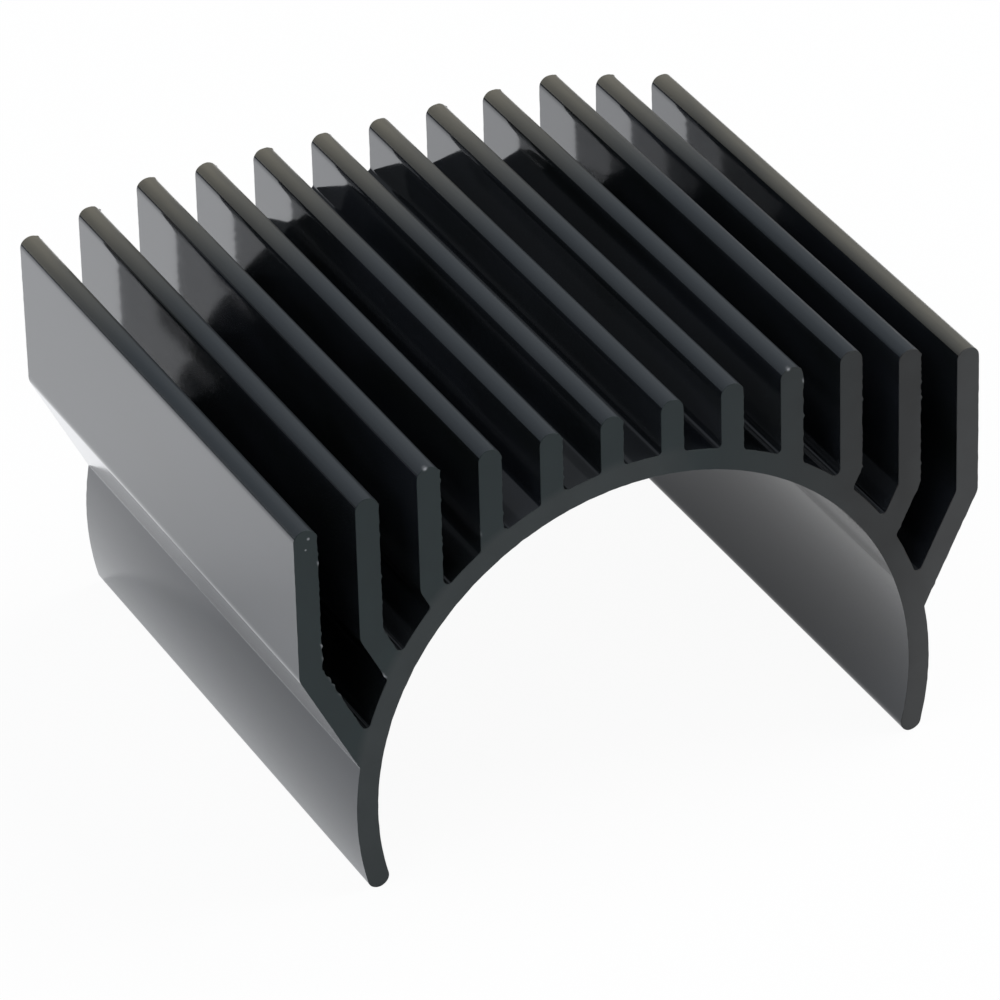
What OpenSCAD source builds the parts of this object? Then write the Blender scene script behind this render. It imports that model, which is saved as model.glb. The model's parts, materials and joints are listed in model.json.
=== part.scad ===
// Clip-on heat sink for a round motor can: one black anodised aluminium extrusion, sawn to length.
// The section lies across X and Z, the extrusion runs along Y, and the origin is on the motor's axis
// at mid length. Two arms reach past the motor's waist and grip it; the part rests on their ends.

/* [Motor seat] */
// Diameter of the motor can that the seat grips
seat_d = 36; // [32:0.5:40]
// Thickness of the curved wall around the motor
wall_t = 1.4; // [1:0.1:2.2]
// Angle below the motor's axis at which each arm turns into its rounded end
arm_angle = 13.8; // [5:0.2:30]

/* [Extrusion] */
// Length of the sawn piece, along the motor
length = 40; // [20:0.5:60]

/* [Fins] */
// Number of fins, always even
fin_count = 12; // [8:2:12]
// Distance between the middles of neighbouring fins
fin_pitch = 4; // [3.6:0.1:4.4]
// Thickness of a fin
fin_t = 1.5; // [1:0.1:1.8]
// Height of the middle fins above the crown of the curved wall
fin_rise = 3.5; // [2:0.1:8]
// Number of fins on each side that step down
step_count = 2; // [0:1:3]
// Drop from each of these fins to the next
step_drop = 1; // [0:0.1:1.5]
// Width of the flat that is left between the two rounded edges of a fin's tip
tip_flat = 0.1; // [0.1:0.1:0.8]
// Radius in the corners where fins meet the curved wall
root_r = 0.3; // [0.1:0.05:0.5]
// Radius in the open corner between each outermost fin and the arm below it
open_root_r = 0.1; // [0.05:0.05:0.5]

/* [Bent fins] */
// Lean of the lower leg of a bent fin
leg_angle = 27; // [18:0.5:32]
// Radius on the hollow side of the bend
bend_r = 0.5; // [0.2:0.1:1]
// Radius on the outer side of the bend
bend_outer_r = 1.2; // [0.3:0.1:3]
// Place on the curved wall where the outermost fin's leg stands, as an angle above the axis
first_root_angle = 11.5; // [8:0.5:16]
// Place of the second fin's leg
second_root_angle = 29.5; // [24:0.5:34]
// Place of the third fin's leg
third_root_angle = 45; // [40:0.5:50]

/* [Hidden] */
$fn = 96;
// Depth by which a rounded corner crosses the faces beside it
bite = 0.002;
// How far a corner piece reaches beyond its arc, as a multiple of the radius
corner_reach = 1.2;

seat_r = seat_d / 2;
wall_r = seat_r + wall_t;
mid_r = seat_r + wall_t / 2;
crown_z = wall_r + fin_rise;
tip_r = (fin_t - tip_flat) / 2;
root_angles = [first_root_angle, second_root_angle, third_root_angle];
right = [1, 0];
up = [0, 1];
// Sideways shift that the bend alone gives
bend_shift = (bend_r + fin_t / 2) * (1 - cos(leg_angle));

// Fins are counted from the outside in, on the side of +X
function fin_x(i) = ((fin_count - 1) / 2 - i) * fin_pitch;
function tip_z(i) = crown_z - max(0, step_count - i) * step_drop;
// Where a leg would stand on the middle of the wall, and how far inwards of its fin that is
function leg_root_x(i) = i < len(root_angles) ? mid_r * cos(root_angles[i]) : fin_x(i);
function leg_shift(i) = fin_x(i) - leg_root_x(i);
function is_bent(i) = leg_shift(i) > bend_shift;
function lean(i) = is_bent(i) ? leg_angle : 0;
function root_x(i) = is_bent(i) ? leg_root_x(i) : min(fin_x(i), mid_r);
function root(i) = [root_x(i), sqrt(mid_r ^ 2 - root_x(i) ^ 2)];
// Unit vectors on the lowest part of a fin: across it, outwards, and along it, upwards
function across(i) = [cos(lean(i)), -sin(lean(i))];
function along(i) = [sin(lean(i)), cos(lean(i))];
// Where the lines at an offset from the middle of the upright part and of the leg meet
function bend_point(i, offset) =
    [fin_x(i), root(i).y + leg_shift(i) / tan(leg_angle)] + offset * [1, -tan(leg_angle / 2)];

// Corner beyond an arc of radius r that runs from direction a to b: added, it fills a hollow corner,
// and taken away, it rounds a sharp one
module corner_piece(centre, r, a, b) {
    reach = corner_reach * r;
    difference() {
        polygon([
            centre,
            centre + reach * a,
            centre + reach * (a + b) / (1 + a * b),
            centre + reach * b
        ]);
        translate(centre) circle(r = r);
    }
}

// Disc sector whose rim is the outside of the curved wall, with the rounded ends of both arms
module wall_section() {
    reach = 2 * wall_r;
    arm = [cos(arm_angle), -sin(arm_angle)];
    intersection() {
        circle(r = wall_r);
        union() {
            polygon([
                [0, 0],
                reach * arm,
                reach * [1, 1],
                reach * [-1, 1],
                reach * [-arm.x, arm.y]
            ]);
            for (side = [-1, 1])
                translate(mid_r * [side * arm.x, arm.y])
                    circle(r = wall_t / 2 + bite);
        }
    }
}

// Outline of a fin with sharp corners, from its tip down into the curved wall
module fin_outline(i) {
    half = fin_t / 2;
    foot = root(i) - wall_t * along(i);
    polygon([
        [fin_x(i) - half, tip_z(i)],
        [fin_x(i) + half, tip_z(i)],
        if (is_bent(i)) bend_point(i, half),
        foot + half * across(i),
        foot - half * across(i),
        if (is_bent(i)) bend_point(i, -half)
    ]);
}

// Both edges of a fin's tip, to be taken away
module tip_corners(i) {
    for (side = [-1, 1])
        corner_piece(
            [fin_x(i) + side * (fin_t / 2 - tip_r + bite), tip_z(i) - tip_r + bite],
            tip_r, side * right, up
        );
}

// Corner of the bend: to be taken away on the outer side, where side is 1, and added on the hollow one
module bend_corner(i, r, side) {
    corner_piece(bend_point(i, side * fin_t / 2 - r + bite), r, right, across(i));
}

// Fillet between one side of a fin and the outside of the curved wall
module root_fillet(i, side) {
    r = i == 0 && side == 1 ? open_root_r : root_r;
    from_axis = across(i) * root(i) + side * (fin_t / 2 + r - bite);
    from_centre = wall_r + r - bite;
    centre = from_axis * across(i) + sqrt(from_centre ^ 2 - from_axis ^ 2) * along(i);
    corner_piece(centre, r, -side * across(i), -centre / from_centre);
}

// Whole fin, with its rounded tip, bend and root
module fin(i) {
    difference() {
        fin_outline(i);
        tip_corners(i);
        if (is_bent(i)) bend_corner(i, bend_outer_r, 1);
    }
    if (is_bent(i)) bend_corner(i, bend_r, -1);
    for (side = [-1, 1]) root_fillet(i, side);
}

// A section carried along the motor, for the given length
module extrude_along(run) {
    rotate([90, 0, 0])
        linear_extrude(run, center = true)
            children();
}

// The extrusion: curved wall and fins on both sides, with the motor seat bored through
module heat_sink() {
    color("#2e3033")
        difference() {
            union() {
                extrude_along(length) wall_section();
                for (i = [0 : fin_count / 2 - 1], mirrored = [0, 1])
                    mirror([mirrored, 0, 0])
                        extrude_along(length) fin(i);
            }
            extrude_along(length + 2 * wall_t) circle(r = seat_r);
        }
}

heat_sink();
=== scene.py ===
"""Motor heat sink: one sawn length of a black anodised aluminium extrusion, on a pale studio floor.

The section is drawn as straight runs and arcs, carried along the motor's axis and given the fine
wear of its sawn ends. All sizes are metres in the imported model's frame: X runs across the fins, Y
along the motor and Z up, and the origin is on the motor's axis at mid length.
"""

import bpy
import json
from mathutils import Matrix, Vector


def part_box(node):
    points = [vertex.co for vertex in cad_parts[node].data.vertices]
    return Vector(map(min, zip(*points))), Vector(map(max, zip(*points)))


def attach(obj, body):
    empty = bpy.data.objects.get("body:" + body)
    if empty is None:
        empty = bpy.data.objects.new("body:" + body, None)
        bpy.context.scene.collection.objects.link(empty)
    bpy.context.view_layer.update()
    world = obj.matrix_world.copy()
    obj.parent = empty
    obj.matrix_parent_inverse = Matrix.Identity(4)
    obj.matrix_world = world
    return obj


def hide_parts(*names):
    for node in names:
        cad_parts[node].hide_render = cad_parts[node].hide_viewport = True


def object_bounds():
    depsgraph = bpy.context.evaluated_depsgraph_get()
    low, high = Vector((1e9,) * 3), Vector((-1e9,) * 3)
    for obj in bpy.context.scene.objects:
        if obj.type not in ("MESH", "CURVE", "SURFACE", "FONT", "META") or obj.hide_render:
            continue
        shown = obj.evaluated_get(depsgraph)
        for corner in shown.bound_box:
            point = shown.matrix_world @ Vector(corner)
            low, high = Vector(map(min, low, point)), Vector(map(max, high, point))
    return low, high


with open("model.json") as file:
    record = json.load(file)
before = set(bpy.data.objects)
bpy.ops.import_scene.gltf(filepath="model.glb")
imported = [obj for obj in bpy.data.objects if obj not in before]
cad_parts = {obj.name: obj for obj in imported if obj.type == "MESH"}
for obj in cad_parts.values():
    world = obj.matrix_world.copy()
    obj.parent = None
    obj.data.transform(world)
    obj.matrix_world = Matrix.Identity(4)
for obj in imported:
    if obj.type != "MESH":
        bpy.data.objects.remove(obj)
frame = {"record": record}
CAD_BOX = [list(corner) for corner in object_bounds()]

import json
import logging
import math
from dataclasses import dataclass, field
from enum import Enum
from typing import Any

import bpy
import numpy as np
import numpy.typing as npt
from mathutils import Matrix, Vector

Array = npt.NDArray[np.float64]
Socket = bpy.types.NodeSocket
Colour = tuple[float, float, float]
Triple = tuple[float, float, float]
Pair = tuple[float, float]
Waves = tuple[int, int]

LOG = logging.getLogger("motor_heat_sink")
MM = 0.001
NODE = "heat_sink"

# Attribute of the mesh that holds the share of bare metal
BARE = "bare"
# Points closer together than this are one point
SAME_POINT = 1e-9
# A point this close to a circle lies on it
ON_CIRCLE = 1e-6
# Rows at each end, counted from the end inwards: the rim of the sawn face, and the chamfer's start
RIM_ROW = 1
EDGE_ROW = 2
ORIGIN: Triple = (0.0, 0.0, 0.0)
ACROSS: Triple = (1.0, 0.0, 0.0)
# Shares that grow or fall over a range
RISING: Pair = (0.0, 1.0)
FALLING: Pair = (1.0, 0.0)
# Octaves of a noise with little fine grain
SOFT_DETAIL = 2.0
# Sockets of a Mix node that take two colours, and the one that gives their mix
MIX_COLOURS = (6, 7)
MIX_RESULT = 2
PLAIN_WHITE = (1.0, 1.0, 1.0, 1.0)


class Face(Enum):
    """Kinds of surface on the extrusion, numbered as the mesh's material slots."""

    DRAWN = 0
    TIP = 1
    SAWN = 2


class End(Enum):
    """The two sawn ends, as the sign of Y."""

    FRONT = -1
    BACK = 1


@dataclass(frozen=True)
class Run:
    """One stretch of the outline, with the outward direction at each of its points.

    Attributes:
        points: Places (x, z) in order, with the metal on the left of the way.
        normals: Unit vectors (x, z) that point out of the metal.
    """

    points: Array
    normals: Array

    def mirrored(self) -> "Run":
        """The stretch on the side of -X, walked the other way to keep the metal on the left."""
        flip = np.array([-1.0, 1.0])
        return Run((self.points * flip)[::-1], (self.normals * flip)[::-1])


def straight(start: Array, end: Array, spacing: float) -> Run:
    """A straight run: start plus an even share of the way to end.

    Args:
        start: First point (x, z).
        end: Last point (x, z).
        spacing: Longest step between points.

    Returns:
        The run; its normal is the way turned a quarter turn to the right.
    """
    way = np.asarray(end, float) - np.asarray(start, float)
    length = float(np.hypot(*way))
    share = np.linspace(0.0, 1.0, max(2, math.ceil(length / spacing) + 1))[:, None]
    outward = np.array([way[1], -way[0]]) / length
    return Run(start + way * share, np.repeat(outward[None, :], len(share), axis=0))


def arc(centre: Array, radius: float, start: float, end: float, step: float, spacing: float) -> Run:
    """An arc: centre plus radius times (cos, sin) of an angle that goes evenly from start to end.

    Args:
        centre: Centre (x, z).
        radius: Radius of the arc.
        start: First angle, in radians.
        end: Last angle; above start the metal is inside the arc, below it the metal is outside.
        step: Largest angle between points.
        spacing: Longest step between points.

    Returns:
        The run.
    """
    turn = abs(end - start)
    count = max(2, math.ceil(max(turn / step, turn * radius / spacing)) + 1)
    angle = np.linspace(start, end, count)
    spoke = np.stack([np.cos(angle), np.sin(angle)], axis=1)
    return Run(np.asarray(centre) + radius * spoke, spoke * math.copysign(1.0, end - start))


def angle_of(direction: Array) -> float:
    """Angle of a direction (x, z), in radians."""
    return math.atan2(direction[1], direction[0])


def turn_between(start: float, end: float) -> float:
    """Smallest turn from one angle to another, in radians, with its sign."""
    return (end - start + math.pi) % (2 * math.pi) - math.pi


@dataclass(frozen=True)
class Section:
    """Section of the extrusion: a round seat with two gripping arms, and fins, some of them bent.

    Fins are counted from the outside in, on the side of +X; the other side is their mirror image.

    Attributes:
        seat_r: Radius of the motor seat.
        wall_t: Thickness of the curved wall round the motor.
        arm_angle: Angle below the axis at which each arm turns into its rounded end.
        fin_count: Number of fins on both sides together.
        fin_pitch: Distance between the middles of neighbouring fins.
        fin_t: Thickness of a fin.
        fin_rise: Height of the middle fins above the crown of the wall.
        tip_drops: How far the tips of the outermost fins lie below the others.
        tip_flat: Width of the flat between the two rounded edges of a tip.
        crown_share: Depth of a tip's crown, as a share of its edges' radius.
        root_r: Radius in the corners where fins meet the wall.
        open_root_r: Radius in the open corner outside the outermost fin.
        leg_angle: Lean of the lower leg of a bent fin.
        bend_r: Radius on the hollow side of a bend.
        bend_outer_r: Radius on the outer side of a bend.
        root_angles: Angles above the axis at which the legs of bent fins stand on the wall.
        seat_line_angle: Angle above the axis of the fine line along the seat.
        seat_line_width: Reach of that line to each side.
        spacing: Longest step between points.
        fine_spacing: Longest step between points across the fine line.
        arc_step: Largest angle between points of an arc.
    """

    seat_r: float
    wall_t: float = 1.4 * MM
    arm_angle: float = math.radians(13.8)
    fin_count: int = 12
    fin_pitch: float = 4.0 * MM
    fin_t: float = 1.5 * MM
    fin_rise: float = 3.5 * MM
    tip_drops: tuple[float, ...] = (2.0 * MM, 1.0 * MM)
    tip_flat: float = 0.1 * MM
    crown_share: float = 0.6
    root_r: float = 0.3 * MM
    open_root_r: float = 0.1 * MM
    leg_angle: float = math.radians(27.0)
    bend_r: float = 0.5 * MM
    bend_outer_r: float = 1.2 * MM
    root_angles: tuple[float, ...] = (math.radians(11.5), math.radians(29.5), math.radians(45.0))
    seat_line_angle: float = math.radians(20.0)
    seat_line_width: float = 0.3 * MM
    spacing: float = 0.22 * MM
    fine_spacing: float = 0.05 * MM
    arc_step: float = math.radians(7.0)

    @property
    def wall_r(self) -> float:
        """Radius of the outside of the curved wall."""
        return self.seat_r + self.wall_t

    @property
    def mid_r(self) -> float:
        """Radius of the middle of the curved wall."""
        return self.seat_r + self.wall_t / 2

    @property
    def tip_r(self) -> float:
        """Radius of both edges of a fin's tip."""
        return (self.fin_t - self.tip_flat) / 2

    def fin_x(self, index: int) -> float:
        """Middle of a fin's upright part."""
        return ((self.fin_count - 1) / 2 - index) * self.fin_pitch

    def tip_z(self, index: int) -> float:
        """Height of a fin's tip."""
        drop = self.tip_drops[index] if index < len(self.tip_drops) else 0.0
        return self.wall_r + self.fin_rise - drop

    def _arc(self, centre: Array, radius: float, start: float, end: float) -> Run:
        """An arc at this section's fineness."""
        return arc(centre, radius, start, end, self.arc_step, self.spacing)

    def _straight(self, start: Array, end: Array) -> Run:
        """A straight run at this section's fineness."""
        return straight(start, end, self.spacing)

    def fin_runs(self, index: int, wall_from: float) -> tuple[list[Run], float]:
        """Outline of one fin and of the wall before it.

        The fin's lowest part runs through a root on the middle of the wall. A bent fin leans
        outwards there, and a bend with a radius on each side brings it upright below its tip.
        Each root fillet touches the wall's circle and the fin's side, so its centre lies at
        the radius of the wall plus its own, at half the fin's thickness plus its own radius
        from the fin's middle line. The open corner outside the outermost fin is sharper.

        Args:
            index: The fin's number, from the outside in.
            wall_from: Angle on the wall where the last fin's fillet ended.

        Returns:
            The runs in order, and the angle on the wall where this fin's second fillet ends.
        """
        x, top = self.fin_x(index), self.tip_z(index)
        half = self.fin_t / 2
        outer_r, inner_r = self.root_r if index else self.open_root_r, self.root_r
        bent = index < len(self.root_angles)
        if bent:
            spot = self.root_angles[index]
            root = self.mid_r * np.array([math.cos(spot), math.sin(spot)])
        else:
            root = np.array([x, math.sqrt(self.mid_r**2 - x**2)])
        lean = self.leg_angle if bent else 0.0
        across = np.array([math.cos(lean), -math.sin(lean)])
        along = np.array([math.sin(lean), math.cos(lean)])

        def bend_point(offset: float) -> Array:
            """Where the lines at an offset from the middles of upright part and leg meet."""
            drop = offset * math.tan(self.leg_angle / 2)
            return np.array([x + offset, root[1] + (x - root[0]) / math.tan(self.leg_angle) - drop])

        def fillet_centre(side: int, radius: float) -> Array:
            """Centre of the root fillet on one side of the fin."""
            out = float(across @ root) + side * (half + radius)
            return out * across + math.sqrt((self.wall_r + radius) ** 2 - out**2) * along

        outer, inner = fillet_centre(1, outer_r), fillet_centre(-1, inner_r)
        wall_at = angle_of(outer)
        runs = [self._arc(np.zeros(2), self.wall_r, wall_from, wall_at)]
        first = angle_of(-outer)
        second = first + turn_between(first, angle_of(-across))
        runs.append(self._arc(outer, outer_r, first, second))
        foot = outer - outer_r * across
        if bent:
            bend = bend_point(half - self.bend_outer_r)
            runs.append(self._straight(foot, bend + self.bend_outer_r * across))
            runs.append(self._arc(bend, self.bend_outer_r, -lean, 0.0))
            foot = bend + np.array([self.bend_outer_r, 0.0])
        rise = self.tip_r
        shoulder = top - rise
        right, left = x + half - rise, x - half + rise
        runs += [
            self._straight(foot, np.array([x + half, shoulder])),
            self._arc(np.array([right, shoulder]), rise, 0.0, math.pi / 2),
            self._straight(np.array([right, top]), np.array([left, top])),
            self._arc(np.array([left, shoulder]), rise, math.pi / 2, math.pi),
        ]
        foot = inner + inner_r * across
        if bent:
            bend = bend_point(-half - self.bend_r)
            runs += [
                self._straight(np.array([x - half, shoulder]), bend + np.array([self.bend_r, 0.0])),
                self._arc(bend, self.bend_r, 0.0, -lean),
                self._straight(bend + self.bend_r * across, foot),
            ]
        else:
            runs.append(self._straight(np.array([x - half, shoulder]), foot))
        first = angle_of(across)
        second = first + turn_between(first, angle_of(-inner))
        runs.append(self._arc(inner, inner_r, first, second))
        return runs, angle_of(inner)

    def outline(self) -> Run:
        """The closed outline, starting on the inner side of the right arm's rounded end.

        Returns:
            All runs joined, without the points where one run repeats the last one's end.
        """
        end = self.mid_r * np.array([math.cos(self.arm_angle), -math.sin(self.arm_angle)])
        runs = [self._arc(end, self.wall_t / 2, -self.arm_angle - math.pi, -self.arm_angle)]
        wall_at = -self.arm_angle
        for index in range(self.fin_count // 2):
            fin, wall_at = self.fin_runs(index, wall_at)
            runs += fin
        runs.append(self._arc(np.zeros(2), self.wall_r, wall_at, math.pi / 2))
        runs += [run.mirrored() for run in reversed(runs)]
        beside = self.seat_line_width / self.seat_r
        above, below = self.seat_line_angle + beside, self.seat_line_angle - beside
        runs += [
            self._arc(np.zeros(2), self.seat_r, math.pi + self.arm_angle, above),
            arc(np.zeros(2), self.seat_r, above, below, self.arc_step, self.fine_spacing),
            self._arc(np.zeros(2), self.seat_r, below, -self.arm_angle),
        ]
        points = np.concatenate([run.points for run in runs])
        normals = np.concatenate([run.normals for run in runs])
        gap = np.hypot(*(points - np.roll(points, 1, axis=0)).T)
        fresh = gap > SAME_POINT
        return Run(points[fresh], normals[fresh])

    def on_tip(self, points: Array) -> npt.NDArray[np.bool_]:
        """Where the crowns of the fins' tips are.

        A point's depth is measured down from the tip of the fin whose middle is nearest, and
        the crown is all that is less deep than its share of the tip's radius.

        Args:
            points: Places (x, z) on the outline.

        Returns:
            Whether each point is on a crown.
        """
        last = self.fin_count // 2 - 1
        near = np.round((self.fin_count - 1) / 2 - np.abs(points[:, 0]) / self.fin_pitch)
        tops = np.array([self.tip_z(index) for index in range(last + 1)])
        depth = tops[np.clip(near, 0, last).astype(int)] - points[:, 1]
        return depth < self.crown_share * self.tip_r


def wander(along: Array, length: float, waves: Waves, rng: np.random.Generator,
           count: int = 24) -> Array:
    """Smooth noise round a closed line: sines that fit it a whole number of times.

    Their sum is divided by the square root of their number.

    Args:
        along: Distance of each point along the line.
        length: Length of the whole line.
        waves: Fewest and most waves that a sine has on the line.
        rng: Source of the waves and their phases.
        count: Number of sines.

    Returns:
        Values mostly between -2 and 2.
    """
    wave = rng.integers(waves[0], waves[1], count)[:, None]
    phase = rng.uniform(0.0, 2 * math.pi, count)[:, None]
    total = np.sin(2 * math.pi * wave * along[None, :] / length + phase).sum(axis=0)
    return total / math.sqrt(count)


@dataclass(frozen=True)
class Nick:
    """A fleck of bare metal on the front edge.

    Attributes:
        x: Place across the fins.
        z: Height.
        size: Reach of the fleck.
        lip: How far its burr stands out, or how deep its dent goes when below zero.
        bare: Share of bare metal in its middle.
    """

    x: float
    z: float
    size: float
    lip: float
    bare: float = 0.6


@dataclass(frozen=True)
class EdgeWear:
    """What the saw and later handling left on the edges of one end.

    The edge is broken by a narrow uneven chamfer. The blade went across from -X to +X, so a
    ragged burr leans out of those edges of the fins that face +X, apart from the last fin's. A
    few flecks have lost their black film.

    Attributes:
        chamfer: Width of the chamfer.
        chamfer_waves: Fewest and most waves of its unevenness round the outline.
        chamfer_sway: Strength of its unevenness.
        chamfer_range: Least and greatest width, as multiples of the plain one.
        burr: Overhang of the burr.
        burr_waves: Fewest and most waves of its raggedness round the outline.
        burr_gain: Strength of its raggedness.
        burr_most: Greatest overhang, as a multiple of the plain one.
        burr_beyond: Distance from the axis from which there is a burr, just outside the wall.
        burr_until: Place across the fins up to which there is a burr.
        bare_from: Raggedness from which metal is bare.
        bare_gain: How fast the bare share grows above that.
        bare_most: Greatest bare share apart from nicks.
        foot_depth: Distance from the chamfer to the foot of the burr.
        foot_burr: Share of the burr's overhang that is left at its foot.
        foot_bare: Share of the bare metal that is left there.
        clear_depth: Distance from the end at which the drawn face is untouched.
        ring: Width of the ring inside the rim of the sawn face.
        nicks: Single marks.
    """

    chamfer: float = 0.03 * MM
    chamfer_waves: Waves = (60, 500)
    chamfer_sway: float = 0.45
    chamfer_range: Pair = (0.25, 2.0)
    burr: float = 0.075 * MM
    burr_waves: Waves = (240, 900)
    burr_gain: float = 0.8
    burr_most: float = 1.5
    burr_beyond: float = 19.8 * MM
    burr_until: float = 20.0 * MM
    bare_from: float = 2.1
    bare_gain: float = 2.0
    bare_most: float = 0.5
    foot_depth: float = 0.08 * MM
    foot_burr: float = 0.3
    foot_bare: float = 0.35
    clear_depth: float = 0.4 * MM
    ring: float = 0.12 * MM
    nicks: tuple[Nick, ...] = ()

    def shape(self, outline: Run, along: Array, length: float,
              seed: int) -> tuple[Array, Array, Array]:
        """How far the edge is cut back and stands out at each point of the outline.

        Chamfer and burr follow two smooth noises round the outline. A nick adds a bell curve of
        the distance from its middle.

        Args:
            outline: The section's outline.
            along: Distance of each point along it.
            length: Its whole length.
            seed: Seed of the end's own unevenness.

        Returns:
            The chamfer's width, the burr's overhang, and the share of bare metal, for each point.
        """
        rng = np.random.default_rng(seed)
        uneven = wander(along, length, self.chamfer_waves, rng)
        chamfer = self.chamfer * np.clip(1.0 + self.chamfer_sway * uneven, *self.chamfer_range)
        ragged = wander(along, length, self.burr_waves, rng)
        x, z = outline.points.T
        leans = np.clip(outline.normals[:, 0], 0.0, 1.0)
        leans *= (np.hypot(x, z) > self.burr_beyond) & (x < self.burr_until)
        burr = self.burr * np.clip(self.burr_gain * ragged, 0.0, self.burr_most) * leans
        bare = self.bare_most * np.clip(self.bare_gain * (ragged - self.bare_from), 0.0, 1.0)
        for nick in self.nicks:
            away = np.hypot(x - nick.x, z - nick.z)
            share = np.exp(-((away / nick.size) ** 2))
            burr = burr + nick.lip * share
            bare = np.maximum(bare, nick.bare * share)
        return chamfer, burr, bare


class NodeGraph:
    """A material's or the world's node tree, filled node by node."""

    def __init__(self, owner: bpy.types.Material | bpy.types.World) -> None:
        """Starts an empty tree.

        Args:
            owner: The material or world that gets the tree.
        """
        owner.use_nodes = True
        self.tree = owner.node_tree
        self.tree.nodes.clear()

    def _fill(self, socket: Socket, value: Any) -> None:
        """Fills one socket of a node.

        Args:
            socket: The socket.
            value: Another node's socket, which is linked, or anything else, which is set.
        """
        if isinstance(value, Socket):
            self.tree.links.new(value, socket)
        else:
            socket.default_value = value

    def add(self, kind: str, settings: dict[str, Any] | None = None,
            **inputs: Any) -> bpy.types.Node:
        """Adds a node.

        Args:
            kind: Type of the node.
            settings: Its own properties.
            **inputs: Its sockets by name, with _ for a space; another node's socket is linked,
                and anything else is set as the value.

        Returns:
            The node.
        """
        node = self.tree.nodes.new(kind)
        for name, value in (settings or {}).items():
            setattr(node, name, value)
        for name, value in inputs.items():
            self._fill(node.inputs[name.replace("_", " ")], value)
        return node

    def _compute(self, kind: str, operation: str, *values: Any) -> bpy.types.Node:
        """Adds a node that computes something from its first sockets.

        Args:
            kind: Type of the node.
            operation: What it computes.
            *values: What its sockets take, in their order.

        Returns:
            The node.
        """
        node = self.add(kind, {"operation": operation})
        for socket, value in zip(node.inputs, values):
            self._fill(socket, value)
        return node

    def object_coordinates(self) -> Socket:
        """Places in the part's own frame, in metres."""
        return self.add("ShaderNodeTexCoord").outputs["Object"]

    def attribute(self, name: str) -> Socket:
        """The value of one of the mesh's attributes."""
        return self.add("ShaderNodeAttribute", {"attribute_name": name}).outputs["Fac"]

    def distance(self, place: Socket, centre: Triple) -> Socket:
        """Distance of each place from a centre."""
        return self._compute("ShaderNodeVectorMath", "DISTANCE", place, centre).outputs["Value"]

    def distance_along(self, place: Socket, way: Triple) -> Socket:
        """Distance of each place from the origin along a direction."""
        return self._compute("ShaderNodeVectorMath", "DOT_PRODUCT", place, way).outputs["Value"]

    def larger(self, first: Socket, second: Socket) -> Socket:
        """The larger of two values."""
        return self._compute("ShaderNodeMath", "MAXIMUM", first, second).outputs[0]

    def product(self, first: Socket, second: Socket) -> Socket:
        """The product of two values."""
        return self._compute("ShaderNodeMath", "MULTIPLY", first, second).outputs[0]

    def weigh(self, value: Socket, weight: float, rest: Any = 0.0) -> Socket:
        """A value times a weight, plus the rest, which is a number or a socket."""
        return self._compute("ShaderNodeMath", "MULTIPLY_ADD", value, weight, rest).outputs[0]

    def noise(self, place: Socket, size: Triple, detail: float = 3.0,
              roughness: float = 0.55) -> Socket:
        """Noise whose grains have the given size.

        Args:
            place: Coordinates to read.
            size: Size of a grain along X, Y and Z.
            detail: Octaves of finer noise.
            roughness: Share of the finer octaves.

        Returns:
            The noise, from 0 to 1.
        """
        scaled = self.add("ShaderNodeMapping", Vector=place, Scale=tuple(1.0 / s for s in size))
        grain = self.add("ShaderNodeTexNoise", Vector=scaled.outputs[0], Scale=1.0, Detail=detail,
                         Roughness=roughness)
        return grain.outputs["Fac"]

    def spread(self, value: Socket, source: Pair, target: Pair) -> Socket:
        """Maps one range of a value to another, and holds it there.

        Args:
            value: The value.
            source: Its range.
            target: The range that it becomes.

        Returns:
            The mapped value.
        """
        ranged = self.add("ShaderNodeMapRange", Value=value, From_Min=source[0], From_Max=source[1],
                          To_Min=target[0], To_Max=target[1])
        return ranged.outputs["Result"]

    def blend(self, share: Socket, first: Any, second: Any) -> Socket:
        """Mixes two colours.

        Args:
            share: Share of the second colour.
            first: A colour, or a socket that gives one.
            second: The other colour.

        Returns:
            The mixed colour.
        """
        mix = self.add("ShaderNodeMix", {"data_type": "RGBA"})
        self._fill(mix.inputs[0], share)
        for index, colour in zip(MIX_COLOURS, (first, second)):
            value = colour if isinstance(colour, Socket) else (*colour, 1.0)
            self._fill(mix.inputs[index], value)
        return mix.outputs[MIX_RESULT]

    def mix_shaders(self, share: Socket, first: bpy.types.Node,
                    second: bpy.types.Node) -> bpy.types.Node:
        """Mixes two shaders.

        Args:
            share: Share of the second shader.
            first: The first shader.
            second: The second shader.

        Returns:
            The mixed shader.
        """
        mix = self.add("ShaderNodeMixShader", Fac=share)
        self._fill(mix.inputs[1], first.outputs[0])
        self._fill(mix.inputs[2], second.outputs[0])
        return mix

    def bump(self, height: Socket, depth: float) -> Socket:
        """A normal that follows a height from 0 to 1, where 1 stands for the depth."""
        node = self.add("ShaderNodeBump", Height=height, Distance=depth, Strength=1.0)
        return node.outputs["Normal"]

    def show(self, shader: bpy.types.Node) -> None:
        """Makes a shader the material's surface."""
        self.add("ShaderNodeOutputMaterial", Surface=shader.outputs[0])


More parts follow.
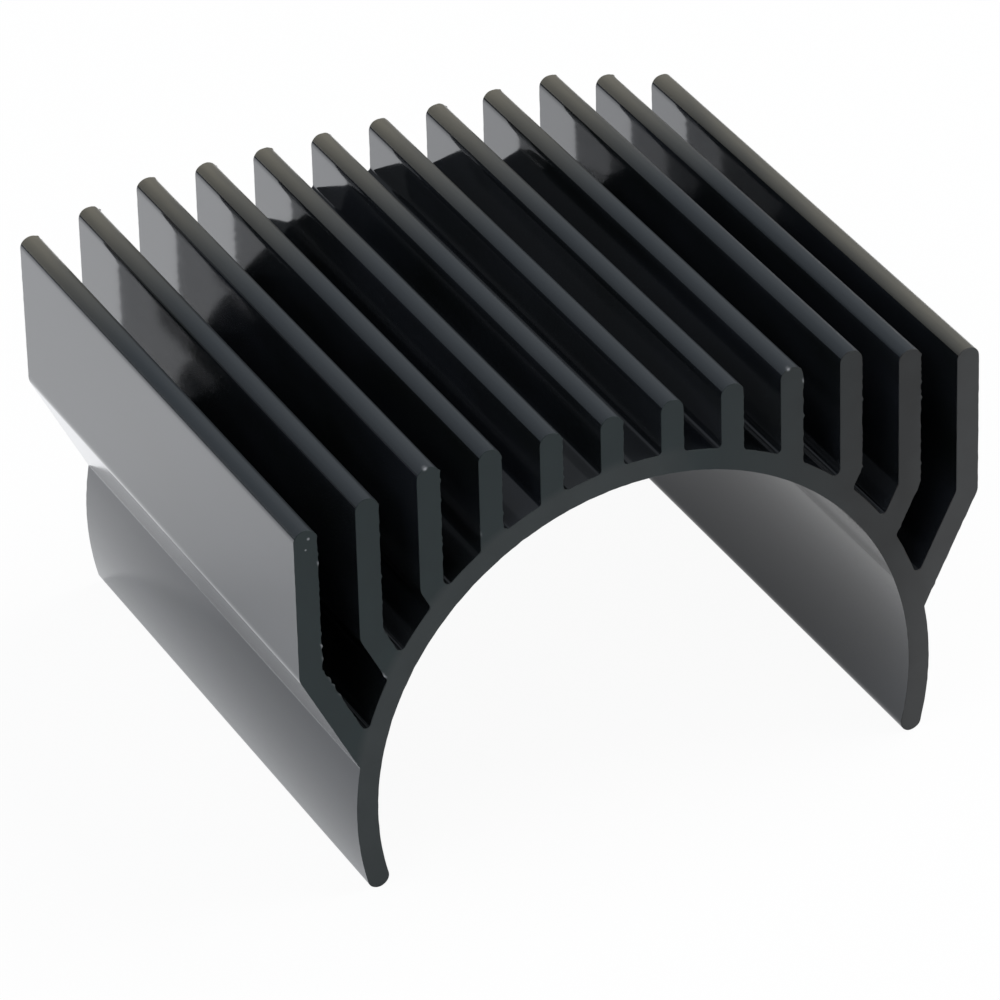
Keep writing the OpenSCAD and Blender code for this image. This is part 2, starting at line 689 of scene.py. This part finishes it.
@dataclass(frozen=True)
class DrawnFinish:
    """Black anodised film on the drawn faces: satin, with faint streaks from the die along Y.

    Light is mirrored twice, on the sealed surface and on the metal below the film, so the
    shader has a clear coat over its own gloss.

    Attributes:
        name: Name of the material.
        film: Colour of the film.
        film_pale: Its colour in the clouds.
        bare: Colour of bare metal.
        tint: Tint of the gloss below the coat.
        ior: Refractive index that sets this gloss.
        coat_ior: Refractive index of the coat.
        coat_roughness: Roughness of the coat.
        roughness: Least and greatest roughness below the coat.
        roughness_range: Part of the clouds' noise over which the roughness grows.
        streak: Size of a streak.
        streak_depth: Depth of the streaks.
        mottle: Size of a cloud.
        mottle_range: Part of the clouds' noise over which the film gets paler.
    """

    name: str = "black_anodised_drawn"
    film: Colour = (0.0055, 0.0068, 0.0068)
    film_pale: Colour = (0.0135, 0.0155, 0.02)
    bare: Colour = (0.62, 0.63, 0.66)
    tint: Colour = (0.72, 0.82, 1.0)
    ior: float = 1.42
    coat_ior: float = 1.5
    coat_roughness: float = 0.08
    roughness: Pair = (0.09, 0.13)
    roughness_range: Pair = (0.25, 0.75)
    streak: Triple = (0.35 * MM, 22.0 * MM, 0.35 * MM)
    streak_depth: float = 0.0004 * MM
    mottle: Triple = (5.0 * MM, 14.0 * MM, 5.0 * MM)
    mottle_range: Pair = (0.3, 0.7)

    def film_colour(self, graph: NodeGraph, place: Socket, mottle: Socket) -> Socket:
        """Colour of the film, paler in faint clouds.

        Args:
            graph: The material's nodes.
            place: Places in the part's frame; not used here.
            mottle: Noise of the clouds.

        Returns:
            The colour.
        """
        clouds = graph.spread(mottle, self.mottle_range, RISING)
        return graph.blend(clouds, self.film, self.film_pale)

    def material(self) -> bpy.types.Material:
        """Makes the material.

        Returns:
            The material, with bare metal where the mesh's attribute asks for it.
        """
        made = bpy.data.materials.new(self.name)
        graph = NodeGraph(made)
        place = graph.object_coordinates()
        mottle = graph.noise(place, self.mottle, detail=SOFT_DETAIL)
        bare = graph.attribute(BARE)
        film = self.film_colour(graph, place, mottle)
        ridges = graph.bump(graph.noise(place, self.streak), self.streak_depth)
        shader = graph.add(
            "ShaderNodeBsdfPrincipled",
            Base_Color=graph.blend(bare, film, self.bare),
            Metallic=bare,
            Roughness=graph.spread(mottle, self.roughness_range, self.roughness),
            IOR=self.ior,
            Specular_Tint=(*self.tint, 1.0),
            Normal=ridges,
            Coat_Weight=1.0,
            Coat_IOR=self.coat_ior,
            Coat_Roughness=self.coat_roughness,
            Coat_Normal=ridges,
        )
        graph.show(shader)
        return made


@dataclass(frozen=True)
class TipFinish(DrawnFinish):
    """Film on the crowns of the fins: duller and greyer, with a warm painted sheen towards the back
    end.

    The painted sheen is a painted reflection of the bright floor behind the part. The crown of the
    last fin on the side of +X, with no neighbour to hide that floor, carries it along its whole
    length.

    Attributes:
        painted_sheen: Colour of the painted sheen, a painted reflection of the bright floor behind.
        sheen_along: Places along Y between which the painted sheen grows.
        sheen_across: Places along X between which it grows, too.
        sheen_patch: Size of a patch of uneven painted sheen.
        sheen_patch_range: Part of the patches' noise over which the painted sheen grows.
        sheen_patch_share: Least and greatest share of the painted sheen in a patch.
    """

    name: str = "black_anodised_tip"
    film: Colour = (0.0225, 0.0278, 0.0325)
    film_pale: Colour = (0.026, 0.0313, 0.036)
    coat_roughness: float = 0.3
    roughness: Pair = (0.3, 0.4)
    # Warm painted sheen on the crowns: a painted reflection of the bright floor behind the part.
    painted_sheen: Colour = (0.163, 0.15, 0.116)
    sheen_along: Pair = (0.0, 20.0 * MM)
    sheen_across: Pair = (20.0 * MM, 23.0 * MM)
    sheen_patch: Triple = (0.6 * MM, 6.0 * MM, 0.6 * MM)
    sheen_patch_range: Pair = (0.2, 0.8)
    sheen_patch_share: Pair = (0.7, 1.0)

    def film_colour(self, graph: NodeGraph, place: Socket, mottle: Socket) -> Socket:
        """Colour of the film. Its painted sheen grows as the larger of the square of the way along
        Y and its growth with X.

        Args:
            graph: The material's nodes.
            place: Places in the part's frame.
            mottle: Noise of the clouds.

        Returns:
            The colour.
        """
        axes = graph.add("ShaderNodeSeparateXYZ", Vector=place).outputs
        along = graph.spread(axes["Y"], self.sheen_along, RISING)
        across = graph.spread(axes["X"], self.sheen_across, RISING)
        sheen_patches = graph.noise(place, self.sheen_patch, detail=SOFT_DETAIL)
        uneven = graph.spread(sheen_patches, self.sheen_patch_range, self.sheen_patch_share)
        # Painted sheen, strongest at the back end and on the last fin, where the bright floor
        # behind is mirrored.
        wear = graph.product(graph.larger(graph.product(along, along), across), uneven)
        return graph.blend(wear, super().film_colour(graph, place, mottle), self.painted_sheen)


@dataclass(frozen=True)
class Fleck:
    """A speck of bare metal on a sawn face.

    Attributes:
        place: Its middle.
        size: Its reach.
        core: Share of its reach over which it is at its barest.
        bare: Share of bare metal there.
    """

    place: Triple
    size: float
    core: float = 0.3
    bare: float = 0.45


@dataclass(frozen=True)
class SawnFinish:
    """Black anodised film on the sawn ends: dull, with fine arcs from the saw blade.

    Painted light lies on it: it is painted greyer towards +X and palest on the last fin and arm
    there, and the front of the curved wall is painted paler on the side of -X, for the brighter
    floor that these faces mirror. A few flecks have lost the film.

    Attributes:
        name: Name of the material.
        film: Colour of the film.
        film_pale: Its colour in the clouds.
        painted_light_right: Its colour on the side of +X, with painted light.
        painted_light_last_fin: Its colour on the last fin and arm, with the most painted light.
        painted_light_wall: Its colour on the front of the curved wall, with painted light.
        light_way: Direction in which the painted light grows.
        right_range: Distances in this direction over which the side's painted light comes in.
        last_fin_light_range: Distances over which the last fin's painted light comes in.
        wall_middle: Middle of the curved wall's circle, at the front end.
        wall_range: Distances from there over which the wall's painted light goes out.
        wall_side: Places along X over which it goes out, too.
        bare: Colour of bare metal.
        tint: Tint of the gloss.
        ior: Refractive index that sets the gloss.
        roughness: Least and greatest roughness.
        roughness_range: Part of the clouds' noise over which the roughness grows.
        blade: Middle of the saw blade.
        tooth: Distance between the marks of its teeth.
        tooth_depth: Depth of these marks.
        mottle: Size of a cloud.
        mottle_range: Part of the clouds' noise over which the film gets paler.
        flecks: Specks of bare metal.
    """

    name: str = "black_anodised_sawn"
    film: Colour = (0.0062, 0.0085, 0.0088)
    film_pale: Colour = (0.0105, 0.0118, 0.0127)
    # Painted light on the sawn faces: paler where they mirror a brighter floor.
    painted_light_right: Colour = (0.0225, 0.0145, 0.0135)
    painted_light_last_fin: Colour = (0.0485, 0.041, 0.04)
    painted_light_wall: Colour = (0.0285, 0.0275, 0.0275)
    light_way: Triple = (0.99, 0.0, -0.15)
    right_range: Pair = (1.0 * MM, 13.0 * MM)
    last_fin_light_range: Pair = (15.5 * MM, 18.5 * MM)
    wall_middle: Triple = (0.0, -20.0 * MM, 0.0)
    wall_range: Pair = (19.3 * MM, 19.9 * MM)
    wall_side: Pair = (0.5 * MM, 4.0 * MM)
    bare: Colour = (0.62, 0.63, 0.66)
    tint: Colour = (0.76, 0.97, 1.0)
    ior: float = 1.47
    roughness: Pair = (0.42, 0.56)
    roughness_range: Pair = (0.25, 0.75)
    blade: Triple = (60.0 * MM, 0.0, 95.0 * MM)
    tooth: float = 0.16 * MM
    tooth_depth: float = 0.0012 * MM
    mottle: Triple = (2.2 * MM, 2.2 * MM, 2.2 * MM)
    mottle_range: Pair = (0.3, 0.7)
    flecks: tuple[Fleck, ...] = ()

    def film_colour(self, graph: NodeGraph, place: Socket, mottle: Socket) -> Socket:
        """Colour of the film: clouds, then painted light on the side of +X, the last fin and arm,
        and the wall.

        Args:
            graph: The material's nodes.
            place: Places in the part's frame.
            mottle: Noise of the clouds.

        Returns:
            The colour.
        """
        across = graph.distance_along(place, self.light_way)
        clouds = graph.spread(mottle, self.mottle_range, RISING)
        film = graph.blend(clouds, self.film, self.film_pale)
        # Painted light: the faces towards +X, the last fin and arm, and the wall's front at -X are
        # painted paler.
        film = graph.blend(graph.spread(across, self.right_range, RISING), film, self.painted_light_right)
        film = graph.blend(graph.spread(across, self.last_fin_light_range, RISING), film, self.painted_light_last_fin)
        near = graph.spread(graph.distance(place, self.wall_middle), self.wall_range, FALLING)
        beside = graph.spread(graph.distance_along(place, ACROSS), self.wall_side, FALLING)
        return graph.blend(graph.product(near, beside), film, self.painted_light_wall)

    def material(self) -> bpy.types.Material:
        """Makes the material.

        Returns:
            The material. The saw marks are noise on the distance from the blade's middle, and
            a fleck fades out over the distance from its own.
        """
        made = bpy.data.materials.new(self.name)
        graph = NodeGraph(made)
        place = graph.object_coordinates()
        mottle = graph.noise(place, self.mottle)
        rings = graph.add(
            "ShaderNodeTexNoise",
            {"noise_dimensions": "1D"},
            W=graph.distance(place, self.blade),
            Scale=1.0 / self.tooth,
            Detail=SOFT_DETAIL,
        )
        bare = graph.attribute(BARE)
        for fleck in self.flecks:
            away = graph.distance(place, fleck.place)
            fading = (fleck.core * fleck.size, fleck.size)
            bare = graph.larger(bare, graph.spread(away, fading, (fleck.bare, 0.0)))
        film = self.film_colour(graph, place, mottle)
        shader = graph.add(
            "ShaderNodeBsdfPrincipled",
            Base_Color=graph.blend(bare, film, self.bare),
            Metallic=bare,
            Roughness=graph.spread(mottle, self.roughness_range, self.roughness),
            IOR=self.ior,
            Specular_Tint=(*self.tint, 1.0),
            Normal=graph.bump(rings.outputs["Fac"], self.tooth_depth),
        )
        graph.show(shader)
        return made


@dataclass
class HeatSink:
    """The whole part: the section carried along the motor, with worn sawn ends.

    Attributes:
        section: The section.
        length: Length of the sawn piece.
        wear: Wear of each end.
        drawn: Finish of the drawn faces.
        tip: Finish of the fins' crowns.
        sawn: Finish of the sawn ends.
        name: Name of the piece.
        die_relief: Depth of the shallow waves from the die.
        die_waves: Fewest and most of these waves round the outline.
        seat_line_depth: Depth of the fine line along the seat.
        seat_line_taper: The line's reach to each side, in widths of its bell curve.
        body_rows: Number of rows between the rows of the two ends.
        seed: Seed of the die's waves.
        end_seed: Seed of an end's unevenness, once the end's sign is added.
    """

    section: Section
    length: float
    wear: dict[End, EdgeWear]
    drawn: DrawnFinish = field(default_factory=DrawnFinish)
    tip: TipFinish = field(default_factory=TipFinish)
    sawn: SawnFinish = field(default_factory=SawnFinish)
    name: str = "finned_extrusion"
    die_relief: float = 0.0006 * MM
    die_waves: Waves = (60, 420)
    seat_line_depth: float = 0.008 * MM
    seat_line_taper: float = 2.5
    body_rows: int = 9
    seed: int = 7
    end_seed: int = 9

    def relief(self, outline: Run, along: Array, total: float) -> Array:
        """How far the die left each point of the outline below the ideal section.

        Shallow waves run round the section, and one fine groove, a bell curve across its line,
        marks the seat's right side where two streams of metal met in the die.

        Args:
            outline: The section's outline.
            along: Distance of each point along it.
            total: Its whole length.

        Returns:
            The depth at each point, never below zero.
        """
        waves = wander(along, total, self.die_waves, np.random.default_rng(self.seed))
        depth = self.die_relief * np.clip(0.5 + 0.5 * waves, 0.0, 1.0)
        x, z = outline.points.T
        on_seat = (np.abs(np.hypot(x, z) - self.section.seat_r) < ON_CIRCLE) & (x > 0)
        from_line = self.section.seat_r * (np.arctan2(z, x) - self.section.seat_line_angle)
        groove = np.exp(-((self.seat_line_taper * from_line / self.section.seat_line_width) ** 2))
        return depth + np.where(on_seat, self.seat_line_depth * groove, 0.0)

    def rows(self, outline: Run) -> tuple[Array, Array]:
        """The grid of the surface: section outline by rows along Y.

        A point is its outline point moved along its outward direction, at its row's Y, and kept
        inside the solid's box. The middle rows lie on the drawn surface. Towards each end come
        the last untouched row, the foot of the burr, the start of the chamfer, the rim of the
        sawn face, and a ring inside the rim.

        Args:
            outline: The section's outline.

        Returns:
            Places by row and outline point, and the share of bare metal likewise.
        """
        step = np.hypot(*(np.roll(outline.points, -1, axis=0) - outline.points).T)
        along = np.concatenate([[0.0], np.cumsum(step)[:-1]])
        total = float(step.sum())
        relief = self.relief(outline, along, total)
        half = self.length / 2
        offsets: list[Array] = []
        depths: list[Array] = []
        bares: list[Array] = []
        none = np.zeros_like(along)
        for end in End:
            wear = self.wear[end]
            chamfer, burr, bare = wear.shape(outline, along, total, self.end_seed + end.value)
            rim = -relief - chamfer + burr
            foot = -relief + wear.foot_burr * burr
            offset = [rim - wear.ring, rim, -relief + burr, foot, -relief]
            depth = [none, none, chamfer, chamfer + wear.foot_depth, none + wear.clear_depth]
            share = [none, bare, bare, wear.foot_bare * bare, none]
            order = slice(None) if end is End.FRONT else slice(None, None, -1)
            offsets += offset[order]
            depths += [end.value * (half - d) for d in depth][order]
            bares += share[order]
            if end is End.FRONT:
                inside = np.linspace(-half, half, self.body_rows + 2)[1:-1]
                offsets += [-relief] * len(inside)
                depths += [none + y for y in inside]
                bares += [none] * len(inside)
        flat = outline.points[None] + np.stack(offsets)[:, :, None] * outline.normals[None]
        places = np.stack([flat[:, :, 0], np.stack(depths), flat[:, :, 1]], axis=2)
        low, high = (np.array(corner) for corner in CAD_BOX)
        return np.clip(places, low, high), np.stack(bares)

    def build(self) -> bpy.types.Object:
        """Makes the mesh: quads between neighbouring rows, and one flat face on each end.

        The flat faces and the strips from the ring to the start of the chamfer count as sawn, and
        the edges round the rim and round the start of the chamfer are sharp.

        Returns:
            The object, at the origin, with its faces outwards.
        """
        outline = self.section.outline()
        places, bare = self.rows(outline)
        row_count, count = bare.shape
        last_row = row_count - 1
        here = np.arange(count)
        after = np.roll(here, -1)
        start = (np.arange(last_row) * count)[:, None]
        beyond = start + count
        quads = np.stack([start + here, start + after, beyond + after, beyond + here], axis=2)
        quads = quads[:, :, ::-1].reshape(-1, 4)
        back = last_row * count + here[::-1]
        faces = quads.tolist() + [here.tolist(), back.tolist()]
        mesh = bpy.data.meshes.new(self.name)
        mesh.from_pydata(places.reshape(-1, 3).tolist(), [], faces)
        on_tip = self.section.on_tip(outline.points)
        strip = np.where(on_tip & np.roll(on_tip, -1), Face.TIP.value, Face.DRAWN.value)
        kind = np.tile(strip, (last_row, 1))
        kind[:EDGE_ROW] = Face.SAWN.value
        kind[-EDGE_ROW:] = Face.SAWN.value
        kinds = np.concatenate([kind.ravel(), [Face.SAWN.value] * 2]).astype(np.int32)
        mesh.polygons.foreach_set("material_index", kinds)
        mesh.polygons.foreach_set("use_smooth", np.ones(len(faces), dtype=bool))
        shares = mesh.attributes.new(BARE, "FLOAT", "POINT")
        shares.data.foreach_set("value", bare.ravel().astype(np.float32))
        ends = np.empty(len(mesh.edges) * 2, dtype=np.int32)
        mesh.edges.foreach_get("vertices", ends)
        first, second = (ends.reshape(-1, 2) // count).T
        creased = [RIM_ROW, EDGE_ROW, last_row - EDGE_ROW, last_row - RIM_ROW]
        sharp = (first == second) & np.isin(first, creased)
        mesh.attributes.new("sharp_edge", "BOOLEAN", "EDGE").data.foreach_set("value", sharp)
        mesh.update()
        piece = bpy.data.objects.new(self.name, mesh)
        bpy.context.scene.collection.objects.link(piece)
        LOG.info("%s: %d points by %d rows, %d faces", self.name, count, row_count, len(faces))
        return piece

    def dress(self, piece: bpy.types.Object) -> None:
        """Gives the piece its finishes and its place in the frame.

        Args:
            piece: The built object.
        """
        for finish in (self.drawn, self.tip, self.sawn):
            piece.data.materials.append(finish.material())
        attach(piece, "root")
        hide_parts(NODE)


@dataclass(frozen=True)
class PaperFinish:
    """Matt white paper on the grey studio floor.

    Attributes:
        name: Name of the material.
        light: Colour of the paper.
        dark: Colour of its faint clouds.
        table: Colour of the floor beyond the paper.
        reach: Distances from the part over which the paper gives way to the floor.
        cloud: Size of a cloud.
        seen_white: Share of plain white that the camera sees; the rest is lit, with shadows.
        mirrored_white: The same share in reflections.
    """

    name: str = "white_paper"
    light: Colour = (0.91, 0.922, 0.95)
    dark: Colour = (0.895, 0.907, 0.935)
    table: Colour = (0.14, 0.145, 0.15)
    reach: Pair = (0.13, 0.3)
    cloud: Triple = (60.0 * MM, 60.0 * MM, 60.0 * MM)
    seen_white: float = 0.95
    mirrored_white: float = 0.33

    def material(self) -> bpy.types.Material:
        """Makes the material.

        Returns:
            The material: lit paper from above, partly plain white to the eye, and clear from
            below.
        """
        made = bpy.data.materials.new(self.name)
        graph = NodeGraph(made)
        place = graph.object_coordinates()
        cover = graph.spread(graph.distance(place, ORIGIN), self.reach, FALLING)
        sheet = graph.blend(graph.noise(place, self.cloud), self.light, self.dark)
        paper = graph.add("ShaderNodeBsdfDiffuse", Color=graph.blend(cover, self.table, sheet))
        white = graph.add("ShaderNodeEmission", Color=PLAIN_WHITE, Strength=1.0)
        ray = graph.add("ShaderNodeLightPath")
        seen = graph.weigh(ray.outputs["Is Camera Ray"], self.seen_white)
        for kind in ("Is Glossy Ray", "Is Transmission Ray"):
            seen = graph.weigh(graph.product(ray.outputs[kind], cover), self.mirrored_white, seen)
        above = graph.mix_shaders(seen, paper, white)
        below = graph.add("ShaderNodeBsdfTransparent")
        side = graph.add("ShaderNodeNewGeometry").outputs["Backfacing"]
        graph.show(graph.mix_shaders(side, above, below))
        return made


@dataclass(frozen=True)
class Lamp:
    """A soft square lamp that faces the part.

    Attributes:
        name: Its name.
        place: Its place.
        size: Side of the square.
        share: Brightness that it alone would give to white paper that faces it at the origin.
        colour: Colour of its light.
    """

    name: str
    place: Triple
    size: float
    share: float
    colour: Colour

    def build(self) -> None:
        """Adds the lamp.

        A lamp of P watts lights paper at distance d to P over the square of pi times d.
        """
        distance = Vector(self.place).length
        light = bpy.data.lights.new(self.name, "AREA")
        light.size = self.size
        light.energy = self.share * (math.pi * distance) ** 2
        light.color = self.colour
        lamp = bpy.data.objects.new(self.name, light)
        lamp.location = self.place
        lamp.rotation_euler = Vector(self.place).to_track_quat("Z", "Y").to_euler()
        bpy.context.scene.collection.objects.link(lamp)
        LOG.info("%s: share %.2f", self.name, self.share)


@dataclass(frozen=True)
class Studio:
    """Pale floor, dim room and soft lamps.

    Attributes:
        floor_z: Height of the floor.
        floor_r: Radius of the floor.
        floor_rings: Number of its rings.
        floor_spokes: Number of its spokes.
        paper: Finish of the floor.
        room: Heights on the sphere round the part, and the room's colour at each.
        lamps: The lamps.
    """

    floor_z: float
    floor_r: float = 4.0
    floor_rings: int = 24
    floor_spokes: int = 96
    paper: PaperFinish = PaperFinish()
    room: tuple[tuple[float, Colour], ...] = (
        (0.25, (0.135, 0.143, 0.152)),
        (0.5, (0.165, 0.173, 0.183)),
    )
    lamps: tuple[Lamp, ...] = (
        Lamp("lamp_left", (-0.55, -0.15, 0.85), 0.9, 0.48, (0.95, 0.975, 1.0)),
        Lamp("lamp_right", (0.65, 0.0, 0.8), 0.8, 0.85, (1.0, 0.98, 0.95)),
    )

    def build_floor(self) -> None:
        """Adds the floor: a disc whose rings widen as the square of their number."""
        ring = np.linspace(0.0, 1.0, self.floor_rings + 1)[1:] ** 2 * self.floor_r
        angle = np.linspace(0.0, 2 * math.pi, self.floor_spokes, endpoint=False)
        x = (ring[:, None] * np.cos(angle)).ravel()
        y = (ring[:, None] * np.sin(angle)).ravel()
        places = np.stack([x, y, np.full_like(x, self.floor_z)], axis=1)
        here = np.arange(self.floor_spokes)
        after = np.roll(here, -1)
        start = (np.arange(self.floor_rings - 1) * self.floor_spokes)[:, None]
        out = start + self.floor_spokes
        quads = np.stack([start + here, out + here, out + after, start + after], axis=2)
        faces = quads.reshape(-1, 4).tolist() + [here.tolist()]
        mesh = bpy.data.meshes.new("floor")
        mesh.from_pydata(places.tolist(), [], faces)
        mesh.materials.append(self.paper.material())
        mesh.update()
        floor = bpy.data.objects.new("floor", mesh)
        bpy.context.scene.collection.objects.link(floor)
        LOG.info("floor: radius %.1f m at z = %.5f m", self.floor_r, self.floor_z)

    def build_room(self) -> None:
        """Lights the room by height: dimmest at the horizon and a little brighter overhead."""
        world = bpy.data.worlds.new("room")
        bpy.context.scene.world = world
        graph = NodeGraph(world)
        way = graph.add("ShaderNodeTexCoord").outputs["Generated"]
        height = graph.add("ShaderNodeSeparateXYZ", Vector=way).outputs["Z"]
        colour: Any = self.room[0][1]
        for (start, _), (stop, following) in zip(self.room, self.room[1:]):
            colour = graph.blend(graph.spread(height, (start, stop), RISING), colour, following)
        light = graph.add("ShaderNodeBackground", Color=colour, Strength=1.0)
        graph.add("ShaderNodeOutputWorld", Surface=light.outputs[0])

    def build(self) -> None:
        """Adds the floor, the room's light and the lamps."""
        self.build_floor()
        self.build_room()
        for lamp in self.lamps:
            lamp.build()


@dataclass(frozen=True)
class PhotoCamera:
    """Camera of the photograph, from the directions of the fins and the outline of the front end.

    Attributes:
        azimuth: Turn about Z; at 0 the camera looks along +Y.
        elevation: Angle above the horizon.
        roll: Turn about the line of sight.
        aim: Point in the middle of the picture.
        distance: From the aim to the camera.
        lens: Focal length in millimetres on a sensor of the given width.
        sensor: Width of the sensor in millimetres.
        clip: Nearest and farthest distance that is drawn.
    """

    azimuth: float = math.radians(-25.542)
    elevation: float = math.radians(31.102)
    roll: float = math.radians(-1.613)
    aim: Triple = (-0.453 * MM, -1.222 * MM, 6.803 * MM)
    distance: float = 472.7 * MM
    lens: float = 275.56
    sensor: float = 36.0
    clip: Pair = (0.01, 20.0)

    def build(self) -> None:
        """Adds the camera: the level right and up of its line of sight, turned by the roll."""
        flat = math.cos(self.elevation)
        side, ahead = math.sin(self.azimuth), math.cos(self.azimuth)
        back = Vector((side * flat, -ahead * flat, math.sin(self.elevation)))
        level = Vector((ahead, side, 0.0))
        upright = back.cross(level)
        right = math.cos(self.roll) * level + math.sin(self.roll) * upright
        up = back.cross(right)
        data = bpy.data.cameras.new("photo_camera")
        data.lens, data.sensor_width = self.lens, self.sensor
        data.clip_start, data.clip_end = self.clip
        camera = bpy.data.objects.new("photo_camera", data)
        place = Matrix.Translation(Vector(self.aim) + back * self.distance)
        camera.matrix_world = place @ Matrix((right, up, back)).transposed().to_4x4()
        bpy.context.scene.collection.objects.link(camera)
        bpy.context.scene.camera = camera
        LOG.info("camera: %.1f mm lens, %.3f m away", self.lens, self.distance)


def seat_radius() -> float:
    """Radius of the motor seat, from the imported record's mount."""
    return frame["record"]["mounts"][0]["dims"]["r_mm"] * MM


FRONT_NICKS = (
    Nick(-14.2 * MM, 22.9 * MM, 0.12 * MM, -0.03 * MM),
    Nick(9.75 * MM, 22.9 * MM, 0.1 * MM, -0.02 * MM),
    Nick(10.75 * MM, 21.8 * MM, 0.09 * MM, 0.06 * MM),
    Nick(-21.25 * MM, 18.4 * MM, 0.08 * MM, 0.1 * MM),
    Nick(-21.25 * MM, 12.8 * MM, 0.1 * MM, 0.1 * MM),
    Nick(-21.25 * MM, 11.9 * MM, 0.14 * MM, 0.1 * MM, 0.2),
    Nick(-20.84 * MM, 10.33 * MM, 0.16 * MM, 0.14 * MM, 0.1),
    Nick(-20.6 * MM, 9.86 * MM, 0.13 * MM, 0.1 * MM, 0.1),
    Nick(-20.2 * MM, 9.07 * MM, 0.12 * MM, 0.08 * MM, 0.1),
    Nick(-17.3 * MM, 9.56 * MM, 0.14 * MM, 0.06 * MM),
)
FRONT_FLECKS = (
    Fleck((-21.8 * MM, -20.0 * MM, 20.3 * MM), 0.12 * MM),
    Fleck((-22.0 * MM, -20.0 * MM, 19.6 * MM), 0.08 * MM),
)


def main() -> None:
    """Builds the part, then the camera and the studio."""
    logging.basicConfig(level=logging.INFO, format="%(name)s %(message)s")
    bpy.context.scene.view_settings.view_transform = "Standard"
    low, high = (np.array(corner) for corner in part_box(NODE))
    sink = HeatSink(
        Section(seat_r=seat_radius()),
        length=float(high[1] - low[1]),
        wear={End.FRONT: EdgeWear(nicks=FRONT_NICKS), End.BACK: EdgeWear()},
        sawn=SawnFinish(flecks=FRONT_FLECKS),
    )
    sink.dress(sink.build())
    PhotoCamera().build()
    Studio(floor_z=float(low[2])).build()


if __name__ == "__main__":
    main()
